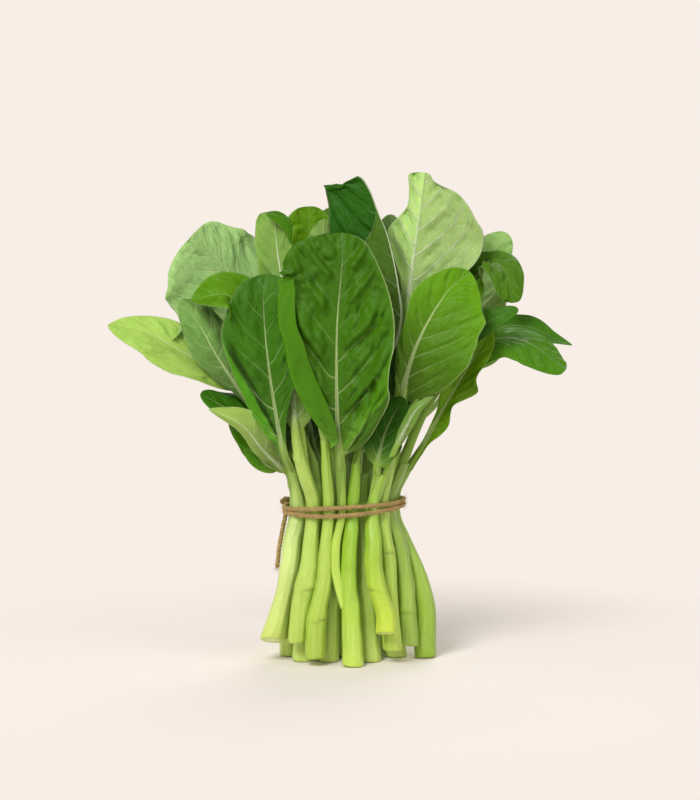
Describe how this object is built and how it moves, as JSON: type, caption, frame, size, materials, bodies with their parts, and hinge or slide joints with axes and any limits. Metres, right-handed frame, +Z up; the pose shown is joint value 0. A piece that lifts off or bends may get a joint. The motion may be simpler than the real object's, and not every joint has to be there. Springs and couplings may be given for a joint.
{
  "type": "bunch of mustard greens",
  "caption": "Bunch of leafy mustard greens with pale stalks and broad quilted leaves, tied round the stalks with jute twine and standing on its cut ends.",
  "frame": {"origin": "on the standing plane, under the middle of the bunch, on the cut end of a stalk in its core", "axes": "+Z up along the stalks, -Y towards the side with the showiest leaves, +X to that side's right"},
  "size_m": [0.2783, 0.154, 0.2931],
  "materials": {
    "stalk": null,
    "leaf": null,
    "twine": "dry twisted jute, hairy and matt brown"
  },
  "bodies": {
    "root": {"stalk_01": "stalk", "stalk_02": "stalk", "stalk_03": "stalk", "stalk_04": "stalk", "stalk_05": "stalk", "stalk_06": "stalk", "stalk_07": "stalk", "stalk_08": "stalk", "stalk_09": "stalk", "stalk_10": "stalk", "stalk_11": "stalk", "stalk_12": "stalk", "stalk_13": "stalk", "stalk_14": "stalk", "stalk_15": "stalk", "stalk_16": "stalk", "stalk_17": "stalk", "stalk_18": "stalk", "stalk_19": "stalk", "stalk_20": "stalk", "stalk_21": "stalk", "stalk_22": "stalk", "stalk_23": "stalk", "stalk_24": "stalk", "leaf_front_centre": "leaf", "leaf_front_left": "leaf", "leaf_front_right": "leaf", "leaf_tall_right": "leaf", "leaf_top_hood": "leaf", "leaf_folded_left": "leaf", "leaf_inner_pale": "leaf", "leaf_inner_round": "leaf", "leaf_big_left": "leaf", "leaf_bright_left": "leaf", "leaf_far_left": "leaf", "leaf_blue_left": "leaf", "leaf_low_left": "leaf", "leaf_under_left": "leaf", "leaf_droop_left": "leaf", "leaf_clasping": "leaf", "leaf_dark_right": "leaf", "leaf_narrow_right": "leaf", "leaf_low_right": "leaf", "leaf_blue_right": "leaf", "leaf_hooked_right": "leaf", "leaf_small_right": "leaf", "leaf_thin_right": "leaf", "leaf_far_right": "leaf", "leaf_back_grey": "leaf", "leaf_rear_left": "leaf", "leaf_rear_right": "leaf", "leaf_rear_middle": "leaf", "leaf_back_right": "leaf", "leaf_back_left": "leaf", "leaf_spread_right": "leaf", "leaf_spread_left": "leaf", "leaf_spread_back": "leaf", "twine_wrap": "twine", "twine_knot": "twine", "twine_tail": "twine"}
  },
  "joints": []
}
